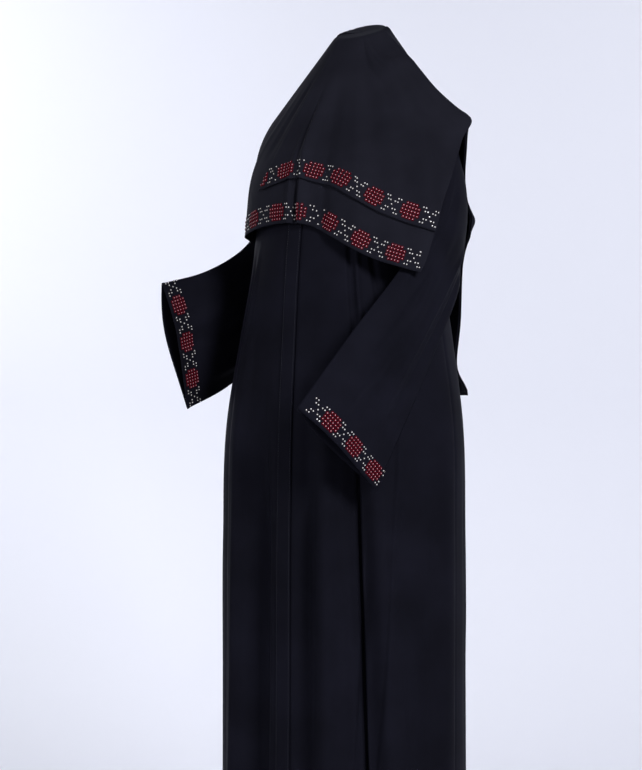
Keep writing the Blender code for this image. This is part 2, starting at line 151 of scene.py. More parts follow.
robe = {
    # height, half width, depth to the front and to the back, and y of the section's middle
    "sections": np.array([
        (-1.4, 0.213, 0.178, 0.182, 0), (-1, 0.213, 0.173, 0.174, 0),
        (-0.75, 0.213, 0.171, 0.168, 0), (-0.56, 0.209, 0.168, 0.158, 0.003),
        (-0.42, 0.186, 0.164, 0.148, 0.01), (-0.3, 0.164, 0.161, 0.138, 0.018),
        (-0.2, 0.158, 0.152, 0.126, 0.026), (-0.12, 0.16, 0.13, 0.106, 0.036),
        (-0.06, 0.1697, 0.086, 0.078, 0.045), (-0.035, 0.142, 0.077, 0.068, 0.048),
        (-0.012, 0.104, 0.072, 0.058, 0.05), (0.008, 0.074, 0.066, 0.05, 0.052),
    ]),
    # largest folds: angle at the waist and at the hem, height where each starts and is whole, out, half angle
    "folds": [
        (-52, -48, -0.4, -0.7, 0.004, 14), (-36, -37, -0.35, -0.6, 0.012, 10),
        (-19, -20.5, -0.45, -0.8, -0.024, 12), (7, 6, -0.55, -0.85, -0.012, 8),
        (17, 19, -0.45, -0.7, 0.014, 10), (31, 42, -0.45, -0.65, -0.013, 8), (41, 52, -0.6, -0.8, 0.008, 8),
        (60, 64, -0.7, -1, -0.006, 9), (84, 82, -0.55, -0.8, 0.004, 12),
        (112, 112, -0.12, -0.3, 0.002, 16), (134, 136, -0.45, -0.8, -0.013, 11),
        (154, 156, -0.35, -0.7, 0.011, 12), (178, 180, -0.5, -0.9, -0.009, 12),
        (203, 201, -0.35, -0.75, 0.012, 12), (227, 224, -0.45, -0.85, -0.014, 12),
        (249, 248, -0.14, -0.35, 0.012, 16), (275, 277, -0.6, -0.9, -0.007, 12),
    ],
    # finer creases, down from the neck in m
    "creases": [
        (-37, -44, 0.24, 0.56, 0.0035, 3.2, 0.6, 0.3), (-44, -50, 0.26, 0.5, -0.003, 3, 0.4, 0.3),
        (-32, -35, 0.4, 1.5, 0.004, 4, 0.5, 0.4), (-16, -15.5, 0.42, 1.8, -0.005, 6, -0.3, 0.4),
        (-64, -61, 0.6, 1.4, 0.0018, 6, 0.5, 0.6), (9, 10, 0.28, 1.7, -0.003, 5, 0.8, 0.4),
        (17, 17, 0.4, 1.7, 0.005, 7, -0.1, 0.5), (29.5, 32, 0.2, 0.46, -0.0052, 2.6, 0.5, 0.2),
        (34.5, 35, 0.22, 0.48, 0.004, 2.4, 0.3, 0.2), (41, 46, 0.22, 0.38, -0.0042, 2.6, 0.6, 0.2),
        (29.6, 42.6, 0.4, 1.64, -0.014, 2.2, -0.5, 0), (37.5, 24.5, 0.7, 1.6, -0.0055, 1.4, 2, 0.2),
        (53, 40, 0.5, 1.25, 0.0046, 1, 4, 0.3), (57, 62, 0.8, 1.5, 0.0028, 4, 0.4, 0.6),
        (72, 70, 0.6, 1.2, -0.0024, 4, 0.6, 0.5), (105, 106, 0.55, 1.2, -0.0016, 4, 0.4, 0.5),
        (122, 118, 0.4, 1.05, 0.0035, 4, 0.7, 0.4), (128, 131, 0.7, 1.6, -0.003, 3, 0.5, 0.5),
        (146, 143, 0.3, 0.8, -0.003, 4, 0.3, 0.5), (160, 164, 0.6, 1.3, 0.0032, 3.4, 0.8, 0.4),
        (171, 168, 0.25, 0.62, 0.0026, 4, 0.6, 0.4), (184, 188, 0.6, 1.4, -0.003, 3.6, 0.4, 0.5),
        (196, 192, 0.3, 0.9, -0.0028, 4, 0.6, 0.5), (212, 214, 0.5, 1.2, 0.0034, 3.6, 0.6, 0.4),
        (221, 219, 0.8, 1.6, 0.0026, 3, 0.5, 0.5), (238, 241, 0.45, 1.2, -0.0032, 4, 0.5, 0.4),
        (257, 261, 0.6, 1.3, 0.003, 4, 0.6, 0.5), (268, 266, 0.35, 0.9, -0.0028, 4, 0.4, 0.5),
        (284, 289, 0.6, 1.3, 0.003, 4.4, 0.5, 0.5),
    ],
    "neck": 0.008,
    "waist": 0.5,  # below the neck, where the folds' first angle holds
    "hem": -1.4,
    "hemDepth": 0.022,
    "hemCloth": (0.020, 0.002, 0.0007),
    "hemStitches": (0.0006, 0.0018),  # how far they pull the cloth in, and half the width
    "armhole": (-0.062, -0.268, 26.0),  # height of its top and its foot, and half its degrees
    "wall": 0.0009,
    "seamDip": (0.0011, 0.0045),  # how far the cloth turns in at a seam, and half the width
    "rows": (18, 44, 108, 14),  # above the armhole, beside it, below it and at the hem
    "hemRowsFrom": 0.004,  # above the hem's stitches
    "columns": {"front": 150, "back": 250},
    "samples": 721,  # from which their places are read
    # angle, half angle and how much closer the columns lie there
    "closer": [(0, 5, 0.8), (38, 12, 1.6), (-20, 12, 0.5), (90, 5, 0.8), (-90, 5, 0.8), (270, 5, 0.8)],
}


def robePoints(angle, z, out=0.0):
    # an oval at each height: x is the half width times the sine of the angle, y is the middle less the depth
    # times its cosine, and the folds and creases add their heights to both
    halfWidth, front, back, middle = (smoothCurve(z, robe["sections"], k) for k in range(1, 5))
    turn = np.radians(angle)
    depth = np.where(np.cos(turn) > 0, front, back)
    stand = np.zeros(np.broadcast(angle, z).shape) + out
    for waist, hem, start, full, height, half in robe["folds"]:
        lean = waist + (hem - waist) * easeIn(-z, robe["waist"], -robe["hem"])
        stand += height * easeIn(-z, -start, -full) * ridge(angle, lean, half)
    stand += creaseHeights(angle, -z, robe["creases"])
    x = (halfWidth + stand) * np.sin(turn)
    y = middle - (depth + stand) * np.cos(turn)
    return np.stack([x, y, np.broadcast_to(z, x.shape)], -1)


def armholeReach(z):
    # half the armhole's angle at a height, as on an ellipse: its largest times the root of 1 - share squared
    top, foot, half = robe["armhole"]
    middle = (top + foot) / 2
    return half * np.sqrt(1 - np.clip((z - middle) / (top - middle), -1, 1) ** 2)


def panelPoints(first, last, kind):
    # the robe's surface between two seams, cut back round the armhole, its seams turned in, its hem doubled
    above, beside, below, atHem = robe["rows"]
    top, foot, _ = robe["armhole"]
    hemRows = robe["hem"] + robe["hemDepth"] + robe["hemRowsFrom"]
    z = np.concatenate([
        np.linspace(robe["neck"], top, above, endpoint=False),
        (top + foot) / 2 + (top - foot) / 2 * np.cos(np.linspace(0, np.pi, beside, endpoint=False)),
        np.linspace(foot, hemRows, below, endpoint=False),
        np.linspace(hemRows, robe["hem"], atHem),
    ])[:, None]
    depth = smoothCurve(z, robe["sections"], 3)
    cut = armholeReach(z)
    a = first + cut * (abs(first) % 180 == 90)
    b = last - cut * (abs(last) % 180 == 90)
    every = np.linspace(first, last, robe["samples"])
    density = 1.0 + sum(much * ridge(every, place, half) for place, half, much in robe["closer"])
    count = np.r_[0, np.cumsum(density[1:] + density[:-1])]
    share = np.interp(np.linspace(0, count[-1], robe["columns"][kind]), count, every)
    angle = a + (b - a) * (share[None, :] - first) / (last - first)
    side = np.minimum(angle - a, b - angle) * np.pi / 180 * depth  # distance from the nearer seam
    deep, half = robe["seamDip"]
    dip = -deep * np.exp(-((side / half) ** 2))
    fromHem = z - robe["hem"]
    pull, half = robe["hemStitches"]
    stitches = -pull * np.exp(-(((fromHem - robe["hemDepth"]) / half) ** 2))
    return robePoints(angle, z, dip + doubled(robe["hemCloth"], fromHem) + stitches)


# Sleeves: each ring runs from the fold on top of the arm down the outer side to the seam and back.

sleeves = {
    # along, top fold x y z, seam x y z, bulge of the outer and the inner side, direction faced, flatness
    "left": np.array([
        (0.12, 0.186, 0.038, -0.098, 0.182, 0.04, -0.276, 0.029, 0.036, 155, 0),
        (0.3, 0.204, -0.02, -0.195, 0.19, 0.05, -0.3, 0.022, 0.016, 100, 0.2),
        (0.5, 0.171, -0.096, -0.303, 0.211, 0.017, -0.345, 0.022, 0.002, 62, 0.5),
        (0.74, 0.134, -0.199, -0.415, 0.195, -0.073, -0.49, 0.02, 0.004, 58, 0.8),
        (1, 0.08, -0.279, -0.536, 0.157, -0.163, -0.668, 0.018, 0.02, 56, 1),
    ]),
    "right": np.array([
        (0.12, -0.176, 0.048, -0.102, -0.178, 0.05, -0.28, 0.032, 0.034, -155, 0),
        (0.34, -0.19, 0.046, -0.19, -0.192, 0.096, -0.37, 0.018, 0.016, -112, 0.2),
        (0.58, -0.212, 0.022, -0.257, -0.215, 0.078, -0.45, 0.018, 0.018, -90, 0.5),
        (0.8, -0.236, -0.066, -0.304, -0.232, -0.012, -0.506, 0.018, 0.015, -95, 0.8),
        (1, -0.262, -0.16, -0.328, -0.251, -0.1, -0.541, 0.016, 0.01, -101, 1),
    ]),
    "gape": 0.4,  # how much wider the cuff stands open near its top
    # degrees round the ring, and down as a share of the arm
    "creases": {
        "left": [
            (128, 122, 0.2, 0.95, 0.0036, 12, -0.4, 2), (150, 150, 0.3, 1.05, -0.004, 14, 0.4, 2),
            (60, 95, 0.3, 0.72, 0.0035, 12, 0.8, 2), (84, 55, 0.42, 0.8, -0.003, 12, 0.5, 3),
            (30, 46, 0.2, 0.62, -0.0035, 14, 0.5, 2), (100, 70, 0.66, 0.98, 0.0022, 10, 0.8, 2),
            (215, 225, 0.3, 0.9, -0.003, 14, 0.5, 3), (300, 285, 0.25, 0.95, 0.003, 14, 0.5, 3),
        ],
        "right": [
            (300, 292, 0.3, 1.05, 0.004, 14, 0.5, 2), (260, 268, 0.45, 1.05, -0.0035, 12, 0.5, 2),
            (220, 212, 0.35, 0.95, 0.004, 12, 0.6, 3), (60, 70, 0.3, 0.95, 0.004, 15, 0.5, 3),
            (100, 92, 0.35, 1, -0.004, 14, 0.5, 3), (140, 132, 0.3, 0.9, 0.003, 12, 0.5, 3),
        ],
    },
    "head": (0.0008, 0.985, 0.0004),  # m shorter and share narrower than the armhole, and its lift
    "columns": 128,
    "rows": 124,
    "wall": 0.0009,
    "hemCloth": (0.0045, 0.002, 0.0007),
}


def sleevePoints(side):
    # rings at the armhole and the table's rows, joined by cubics along the arm. A ring goes from the top fold
    # to the seam by a share of the way and out by the bulge times the sine of the turn. The share is half of
    # one less the cosine, an oval, and with flatness an even one, a lens with two sharp edges
    sign = 1 if side == "left" else -1
    table = sleeves[side]
    turn = np.linspace(0, 2 * np.pi, sleeves["columns"], endpoint=False)
    high, foot, half = robe["armhole"]
    middle = (high + foot) / 2
    shorter, narrower, lift = sleeves["head"]
    height = middle + (high - middle - shorter) * np.cos(turn)
    head = robePoints(sign * (90.0 + half * narrower * np.sin(turn)), height, lift)
    outer, inner, faces, flat = (table[:, k, None] for k in range(7, 11))
    away = np.stack([np.sin(np.radians(faces)), -np.cos(np.radians(faces)), 0 * faces], -1)
    oval = (1 - np.cos(turn)) / 2
    lens = np.where(turn <= np.pi, turn / np.pi, 2 - turn / np.pi)
    share = oval + (lens - oval) * flat
    gape = 1 + sleeves["gape"] * flat * np.cos(turn)
    bulge = np.where(turn <= np.pi, outer, inner) * np.sin(turn) * gape
    top, seam = table[:, None, 1:4], table[:, None, 4:7]
    rings = np.concatenate([head[None], top + (seam - top) * share[..., None] + away * bulge[..., None]])
    along = np.r_[0, table[:, 0]]
    at = np.linspace(0, 1, sleeves["rows"])
    slopes = np.gradient(rings, along, axis=0)
    i = knotBefore(along, at)
    span = (along[i + 1] - along[i])[:, None, None]
    s = (at - along[i])[:, None, None] / span
    points = cubic(s, span, rings[i], slopes[i], rings[i + 1], slopes[i + 1])
    out = creaseHeights(np.degrees(turn)[None, :], at[:, None], sleeves["creases"][side])
    toCuff = distances(points[::-1])[::-1].mean(1)[:, None]
    out += doubled(sleeves["hemCloth"], toCuff)
    return points - sign * gridNormals(points, closed=True) * out[..., None]


def gridNormals(points, closed=False):
    # square to the grid's two ways, each taken from the neighbours on either side
    down = np.gradient(points, axis=0)
    if closed:
        across = (np.roll(points, -1, axis=1) - np.roll(points, 1, axis=1)) / 2
    else:
        across = np.gradient(points, axis=1)
    return unit(np.cross(across, down))


# Veil: a rectangle doubled behind, laid over the neck top, with both ends in front.

veil = {
    "top": (0.0, 0.0625, 0.106),  # its middle
    "topRadius": 0.046,  # of the flat top over the neck
    "topShorter": 0.14,  # share by which its square is less in front
    "topTilt": 0.4,  # how steeply it falls to the front
    "topEdge": 0.006,  # length of the rounded rim, and of the turn downwards below it
    "turnLength": 0.055,
    "lowLevel": -0.6,
    "bendSteps": 15,
    "nudge": 0.002,  # the way's slope is read this far to either side
    "wall": 0.0008,
    "lift": 0.0034,  # how far the upper layer lies out from the lower one
    "topLift": 0.0012,  # the same over the neck, and how far down the way the lift is whole
    "liftFrom": 0.08,
    # direction, distance and height where it turns downwards, distance at the low level
    "ways": np.array([
        (-180, 0.112, -0.12, 0.14), (-150, 0.13, -0.11, 0.165), (-120, 0.17, -0.085, 0.215),
        (-90, 0.202, -0.07, 0.268), (-76, 0.19, -0.08, 0.214), (-62, 0.185, -0.094, 0.206),
        (-40, 0.196, -0.14, 0.24), (-20, 0.198, -0.155, 0.24), (0, 0.199, -0.16, 0.238),
        (15, 0.203, -0.165, 0.25), (30, 0.213, -0.165, 0.272), (45, 0.226, -0.155, 0.298),
        (60, 0.236, -0.125, 0.298), (74, 0.24, -0.098, 0.262), (84, 0.232, -0.074, 0.222),
        (89, 0.203, -0.07, 0.196), (96, 0.187, -0.068, 0.181), (107, 0.171, -0.074, 0.174),
        (120, 0.157, -0.088, 0.171), (150, 0.134, -0.11, 0.168), (180, 0.112, -0.12, 0.14),
    ]),
    # direction, height of the upper layer's hem and of the lower one's
    "hems": np.array([
        (-180, -0.519, -0.514), (-140, -0.519, -0.514), (-125, -0.44, -0.43), (-108, -0.33, -0.31),
        (-90, -0.262, -0.255), (-60, -0.22, -0.256), (-40, -0.187, -0.247), (-20, -0.171, -0.236),
        (-4, -0.162, -0.235), (6, -0.167, -0.24), (15, -0.1755, -0.256), (28, -0.202, -0.284),
        (42, -0.23, -0.307), (62, -0.262, -0.332),
    ]),
    "shoulderCorner": (0.225, 0.045, -0.061),
    "foldCorner": (0.145, 0.19, -0.519),
    # direction and height of the selvage in front, from each layer's corner to the shoulder
    "selvages": {
        "upper": np.array([
            (57.2, -0.2545), (60.8, -0.2113), (64.9, -0.1735), (68.9, -0.1376), (74, -0.1038),
            (85.5, -0.061),
        ]),
        "lower": np.array([
            (51.4, -0.319), (53.4, -0.301), (55.5, -0.2758), (60.8, -0.2113), (64.9, -0.1735),
            (68.9, -0.1376), (74, -0.1038), (85.5, -0.061),
        ]),
    },
    # share of the way down and direction of the edge turned under on the wearer's right, and of that behind
    "turnedEdge": np.array([
        (0, -70), (0.05, -60), (0.1, -42), (0.15, -28.5), (0.25, -25.8), (0.5, -24.3), (0.75, -24.3),
        (0.9, -25), (0.96, -26.5), (1, -28.1),
    ]),
    "backEdge": np.array([(0.0, 282), (0.12, 262), (0.25, 236), (0.5, 218), (1.0, 214)]),
    # how far the cloth stands out beside that edge, its degrees, and where it starts and is whole
    "edgeRise": (0.001, 1.4, 5.0),
    "edgeRiseFrom": (0.1, 0.3),
    # direction as far as which the first edge moves the columns, with its power, and the one behind
    "turnedFade": (40.0, 1.5),
    "backFade": 100.0,
    # direction and height of each hump, their halves, and how far it stands out
    "ruffle": (106.0, -0.224, 13.0, 0.04, 0.02),  # on the selvage behind the wearer's left shoulder
    "tip": (132.0, -0.515, 9.0, 0.034, 0.023),  # at the corner of the fold behind
    "sag": (108.0, -0.002, 42.0, 0.036, -0.007),  # between the neck and the wearer's left shoulder
    "shoulderTip": (85.5, -0.062, 6.0, 0.014, 0.008),
    # share of the ruffle that waves, and its two slanting waves to the metre and the degree
    "crumple": (0.13, 150, 0.3, 47, -0.11),
    "foldRise": 0.35,  # share of the way down over which a fold grows
    # direction, start and end on the way down, out, half angle
    "folds": [
        (-4, 0.3, 1.2, 0.006, 8), (9, 0.25, 1.2, -0.005, 10), (36, 0.15, 0.6, -0.006, 11),
        (56, 0.15, 0.7, 0.005, 10), (-55, 0.3, 1.2, -0.005, 12), (-68, 0.78, 1.2, 0.003, 20),
        (128, 0.45, 1.2, -0.006, 12), (158, 0.4, 1.2, 0.008, 13), (184, 0.45, 1.2, -0.008, 12),
        (208, 0.4, 1.2, 0.008, 12),
    ],
    # down as a share of the way to the lower layer's hem
    "creases": [
        (-9, -1.2, 0.3, 1.4, -0.004, 2.6, 0.6, 0.2), (-3, -1.2, 0.66, 1.4, -0.007, 1.7, 0.4, 0.2),
        (-5, 4.5, 0.36, 1.4, 0.003, 3.4, 0.6, 0.2), (12, 10.5, 0.6, 1.4, -0.0022, 3.4, 0.4, 0.3),
        (44, 76, 0.09, 0.36, -0.0024, 4.5, 0.6, 0.4), (36, 66, 0.09, 0.34, 0.0016, 5, 0.5, 0.4),
        (25, 52, 0.1, 0.34, -0.002, 4.5, 0.6, 0.4), (31, 42, 0.09, 0.27, -0.0014, 3.5, 0.4, 0.4),
        (56, 84, 0.16, 0.5, 0.0024, 5, 0.6, 0.5), (30, 27, 0.5, 1.1, 0.0018, 7, 0.5, 0.6),
        (46, 50, 0.6, 1.2, -0.0018, 7, 0.5, 0.6), (-24, -18, 0.3, 0.9, 0.0016, 5, 0.5, 0.5),
        (-36, -33, 0.25, 0.75, -0.0022, 4, 0.5, 0.5), (-50, -46, 0.3, 1.1, 0.0024, 4.5, 0.5, 0.6),
        (-70, -66, 0.15, 0.95, -0.0026, 5, 0.5, 0.8), (-92, -96, 0.2, 1.05, 0.003, 6, 0.5, 0.8),
        (-112, -118, 0.25, 1.05, -0.003, 6, 0.5, 0.8), (-132, -130, 0.3, 1.2, 0.0034, 6, 0.5, 0.8),
        (110, 116, 0.1, 0.8, 0.0028, 5, 0.5, 0.8), (140, 143, 0.2, 1.2, 0.0032, 5, 0.5, 0.8),
        (170, 172, 0.15, 1.1, -0.003, 5, 0.5, 0.8), (196, 195, 0.25, 1.2, -0.003, 5, 0.5, 0.8),
    ],
    "hemCloth": (0.004, 0.0015, 0.001),
    "roll": 0.002,  # radius of the turned edge, its degrees and columns, and where it is whole
    "rollWidth": 0.7,
    "rollColumns": 8,
    "rollWhole": 0.25,
    "rows": 116,
    "rowPower": 0.9,  # below 1, so the rows lie closer towards the hem
    # directions and the columns per degree from each one to the next
    "density": [
        (-180, 0.5), (-75, 1), (-28.1, 1.8), (-10, 3), (18, 1.5), (96, 1), (135, 0.5), (180, 0.5),
    ],
}


def directionOf(point):
    return float(np.degrees(np.arctan2(point[0], veil["top"][1] - point[1])))


def straightEdge(angle, first, last):
    # height of a straight edge where it crosses a direction from the neck
    away = np.array(first[:2]) - np.array(veil["top"][:2])
    run = np.array(last[:2]) - np.array(first[:2])
    cos, sin = np.cos(np.radians(angle)), np.sin(np.radians(angle))
    share = -(cos * away[0] + sin * away[1]) / (cos * run[0] + sin * run[1])
    return first[2] + (last[2] - first[2]) * np.clip(share, 0, 1)


def veilEdgeHeight(angle, layer):
    # the hem in front, the straight selvage from corner to corner on the wearer's left, the fold behind
    selvage = veil["selvages"][layer]
    shoulder, fold = veil["shoulderCorner"], veil["foldCorner"]
    column = {"upper": 1, "lower": 2}[layer]
    return np.select(
        [angle <= selvage[0, 0], angle <= selvage[-1, 0], angle < directionOf(fold)],
        [
            smoothCurve(angle, veil["hems"], column),
            smoothCurve(angle, selvage),
            straightEdge(angle, shoulder, fold),
        ],
        veil["hems"][0, column],
    )


def veilWays(angle):
    # for each direction the way down as close points (out, height): level top, rounded edge, slope, turn and
    # fall. Each bend is a curve of the second degree round the corner between two straights
    turnOut, turnHeight, lowOut = (smoothCurve(angle, veil["ways"], k) for k in (1, 2, 3))
    front = np.cos(np.radians(angle))
    rim = np.stack([
        veil["topRadius"] * np.sqrt(1 - veil["topShorter"] * front**2),
        veil["top"][2] - veil["topTilt"] * veil["topRadius"] * front,
    ], -1)
    turn = np.stack([turnOut, turnHeight], -1)
    low = np.stack([lowOut, np.full_like(lowOut, veil["lowLevel"])], -1)
    start = np.stack([0 * angle, np.full_like(lowOut, veil["top"][2])], -1)
    soft = np.linspace(0, 1, veil["bendSteps"])[None, :, None]

    def rounded(before, corner, after, reach):
        a = corner + unit(before - corner) * reach
        b = corner + unit(after - corner) * reach
        return a[:, None] * (1 - soft) ** 2 + 2 * corner[:, None] * soft * (1 - soft) + b[:, None] * soft**2

    edge = rounded(start, rim, turn, veil["topEdge"])
    shoulder = rounded(rim, turn, low, veil["turnLength"])
    way = np.concatenate([start[:, None], edge, shoulder, low[:, None]], axis=1)
    return way, distances(way, axis=1)


def readAlong(at, steps, values):
    # straight pieces between the points: the first value and each piece's slope times how far in it is
    lengths = np.diff(steps, axis=1)
    slopes = np.diff(values, axis=1) / np.maximum(lengths, 1e-9)
    gone = np.clip(at[:, None] - steps[:, :-1], 0, lengths)
    return values[:, 0] + (slopes * gone).sum(1)


def lengthTo(height, way, steps):
    # how far along the way that height is met, past the rim
    high, low = way[:, 2:-1, 1], way[:, 3:, 1]
    share = np.clip((high - height[:, None]) / np.maximum(high - low, 1e-9), 0, 1)
    return steps[:, 2] + (np.diff(steps, axis=1)[:, 2:] * share).sum(1)


def bulge(angle, height, row):
    # a soft hump round a direction and a height
    middle, level, half, reach, out = row
    return out * np.exp(-(((angle - middle) / half) ** 2) - ((height - level) / reach) ** 2)


def veilPoints(angle, share, layer, out=0.0):
    # the way's distance out times the sine of the angle is x, and times the cosine it comes off y. The point
    # stands out square to the way by the lift, the folds, the creases and the humps
    shape = np.broadcast(angle, share).shape
    angle, share, sunk = (np.broadcast_to(v, shape).ravel() for v in (angle, share, out))
    wrapped = (angle + 180) % 360 - 180
    way, steps = veilWays(wrapped)
    at = share * lengthTo(veilEdgeHeight(wrapped, layer), way, steps)
    whole = lengthTo(veilEdgeHeight(wrapped, "lower"), way, steps)
    before, after = (
        np.stack([readAlong(at + nudge, steps, way[:, :, k]) for k in (0, 1)], -1)
        for nudge in (-veil["nudge"], veil["nudge"])
    )
    slope = unit(after - before).T
    stand = sunk + 0.0 * angle
    if layer == "upper":
        stand += veil["topLift"] + (veil["lift"] - veil["topLift"]) * easeIn(at, 0.0, veil["liftFrom"])
    for centre, start, end, height, half in veil["folds"]:
        risen = easeIn(at / whole, start, min(start + veil["foldRise"], end))
        stand += height * risen * ridge(angle, centre, half)
    stand += creaseHeights(angle, at / whole, veil["creases"])
    level = readAlong(at, steps, way[:, :, 1])
    waving, fine1, slant1, fine2, slant2 = veil["crumple"]
    waves = np.sin(level * fine1 + wrapped * slant1) * np.cos(level * fine2 + wrapped * slant2)
    stand += bulge(wrapped, level, veil["ruffle"]) * (1 + waving * waves)
    for hump in ("tip", "shoulderTip", "sag"):
        stand += bulge(wrapped, level, veil[hump])
    length = np.where(share > 0, at / np.maximum(share, 1e-9), 1.0)
    stand += doubled(veil["hemCloth"], length - at)
    out = readAlong(at, steps, way[:, :, 0]) - stand * slope[1]
    height = level + stand * slope[0]
    turn, (x, y, _) = np.radians(angle), veil["top"]
    return np.stack([x + out * np.sin(turn), y - out * np.cos(turn), height], -1).reshape(shape + (3,))


def stretches(stops):
    # directions from stop to stop at the table's density, each stop with its own column
    starts, density = np.array(veil["density"]).T
    stops = sorted(set(stops) | {a for a in starts if stops[0] < a < stops[-1]})
    runs = []
    for a, b in zip(stops[:-1], stops[1:]):
        perDegree = density[np.searchsorted(starts, a, side="right") - 1]
        runs.append(np.linspace(a, b, max(2, math.ceil((b - a) * perDegree)), endpoint=False))
    return np.concatenate(runs + [[stops[-1]]])


def veilGrid(layer):
    # the directions of a layer's columns at its hem, and its points
    share = (np.linspace(0, 1, veil["rows"]) ** veil["rowPower"])[:, None]
    selvages = veil["selvages"]
    corners = [selvages[which][k, 0] for which, k in (("lower", 0), ("upper", 0), ("upper", -1))]
    corners.append(directionOf(veil["foldCorner"]))
    if layer == "lower":
        directions = stretches([-180, *corners, 180])[:-1]
        return directions, veilPoints(directions[None, :], share, layer)
    first, last = veil["turnedEdge"][-1, 1], veil["backEdge"][-1, 1]
    quarter = np.linspace(0, np.pi / 2, veil["rollColumns"], endpoint=False)
    rolled = first + veil["rollWidth"] * (1 - np.cos(quarter))
    directions = np.concatenate([rolled, stretches([first + veil["rollWidth"], *corners, 180, last])])
    front = smoothCurve(share, veil["turnedEdge"]) - first
    behind = smoothCurve(share, veil["backEdge"]) - last
    (frontEnd, power), backStart = veil["turnedFade"], veil["backFade"]
    moved = front * np.clip((frontEnd - directions) / (frontEnd - first), 0, 1) ** power
    moved += behind * np.clip((directions - backStart) / (last - backStart), 0, 1)
    inside = directions - first
    gone = np.clip(inside / veil["rollWidth"], 0, 1)[None, :]
    rise, near, far = veil["edgeRise"]
    sunk = -veil["roll"] * (1 - np.sqrt(1 - (1 - gone) ** 2)) * np.minimum(1, share / veil["rollWhole"])
    sunk += rise * (1 - easeIn(inside, near, far)) * easeIn(share, *veil["edgeRiseFrom"])
    return directions, veilPoints(directions[None, :] + moved, share, layer, out=sunk)


# Materials.

def linear(hexColour):
    # sRGB hex to linear, opaque
    parts = [int(hexColour[i:i + 2], 16) / 255 for i in (1, 3, 5)]
    return [p / 12.92 if p <= 0.04045 else ((p + 0.055) / 1.055) ** 2.4 for p in parts] + [1.0]


def addNode(material, kind, settings=None, links=None):
    # one node: its own settings and input values, and the sockets that feed it
    node = material.node_tree.nodes.new(kind)
    for key, value in (settings or {}).items():
        if key in node.inputs:
            node.inputs[key].default_value = value
        else:
            setattr(node, key, value)
    for key, source in (links or {}).items():
        material.node_tree.links.new(source, node.inputs[key])
    return node


def newMaterial(name, settings):
    material = bpy.data.materials.new(name)
    material.use_nodes = True
    shader = material.node_tree.nodes["Principled BSDF"]
    for key, value in settings.items():
        shader.inputs[key].default_value = value
    return material, shader


crepe = {
    # for each slot the material's name, its colour and that of its paler clouds
    "cloths": {"crepe": ("robeCrepe", "#16161c", "#1c1c24"), "veil_crepe": ("veilCrepe", "#1e1e24", "#25252c")},
    "settings": {
        "Roughness": 0.58,
        "Specular IOR Level": 0.015,
        "Specular Tint": linear("#dfe2ff"),
        "Sheen Weight": 0.005,
        "Sheen Roughness": 0.45,
        "Sheen Tint": linear("#8c93b4"),
    },
    "clouds": {"Scale": 9.0, "Detail": 3.0},
    "cloudRange": {"From Min": 0.35, "From Max": 0.7},
    "grain": 0.0022,  # m; the real crepe's grain is 0.4 mm, drawn coarser so that it shows
    "grainDetail": 2.0,
    "bump": {"Strength": 0.18, "Distance": 0.0003},
}


def wovenCrepe(name, colour, paler):
    # polyester crepe, woven from hard-twisted yarn: a matt black with a cool soft shine along the folds
    material, shader = newMaterial(name, crepe["settings"])
    links = material.node_tree.links
    where = {"Vector": addNode(material, "ShaderNodeTexCoord").outputs["Object"]}
    cloud = addNode(material, "ShaderNodeTexNoise", crepe["clouds"], where)
    ramp = addNode(material, "ShaderNodeMapRange", crepe["cloudRange"], {"Value": cloud.outputs["Fac"]})
    tone = addNode(material, "ShaderNodeMix", {"data_type": "RGBA"})
    tone.inputs[6].default_value = linear(colour)
    tone.inputs[7].default_value = linear(paler)
    links.new(ramp.outputs["Result"], tone.inputs[0])
    links.new(tone.outputs[2], shader.inputs["Base Color"])
    fine = {"Scale": 1 / crepe["grain"], "Detail": crepe["grainDetail"]}
    grain = addNode(material, "ShaderNodeTexNoise", fine, where)
    bump = addNode(material, "ShaderNodeBump", crepe["bump"], {"Height": grain.outputs["Fac"]})
    links.new(bump.outputs["Normal"], shader.inputs["Normal"])
    return material


glass = {
    # name, colour, roughness, metallic and shine, of the slopes and of the flat table, whose pale colour is a
    # painted glint
    "Red": [("redCutGlass", "#56020f", 0.6, 0.0, 0.06), ("redCutGlassPaintedGlint", "#ffc4c8", 0.3, 0.0, 0.3)],
    "Gold": [("goldCutGlass", "#837c70", 0.25, 0.4, 0.3), ("goldCutGlassPaintedGlint", "#f8f5f0", 0.2, 0.0, 0.3)],
    "coatRoughness": 0.1,
}


def cutGlass(name, colour, roughness, metallic, shine):
    # a glued stone of cut glass over foil: its slopes show the colour; its flat table's pale colour is a
    # painted glint, standing for the light the table throws back
    return newMaterial(name, {
        "Base Color": linear(colour),
        "Roughness": roughness,
        "Metallic": metallic,
        "Specular IOR Level": shine,
        "Coat Weight": shine / 2,
        "Coat Roughness": glass["coatRoughness"],
    })[0]


crepes = {slot: wovenCrepe(*row) for slot, row in crepe["cloths"].items()}
glassAndPaintedGlints = {kind: [cutGlass(*row) for row in glass[kind]] for kind in ("Red", "Gold")}
# spun polyester thread, a shade paler than the cloth, so that its stitches show
sewingThread = newMaterial("sewingThread", {
    "Base Color": linear("#1d1f29"), "Roughness": 0.5, "Sheen Weight": 0.3,
})[0]
print("materials made")


# Meshes.

def putMesh(name, places, faces, material, uv=None):
    mesh = bpy.data.meshes.new(name)
    mesh.from_pydata(places.tolist(), [], faces)
    if uv is not None:
        layer = mesh.uv_layers.new(name="cloth")
        corners = np.empty(len(mesh.loops), np.int32)
        mesh.loops.foreach_get("vertex_index", corners)
        layer.data.foreach_set("uv", uv[corners].ravel())
    mesh.materials.append(material)
    mesh.shade_smooth()
    piece = bpy.data.objects.new(name, mesh)
    bpy.context.scene.collection.objects.link(piece)
    return piece


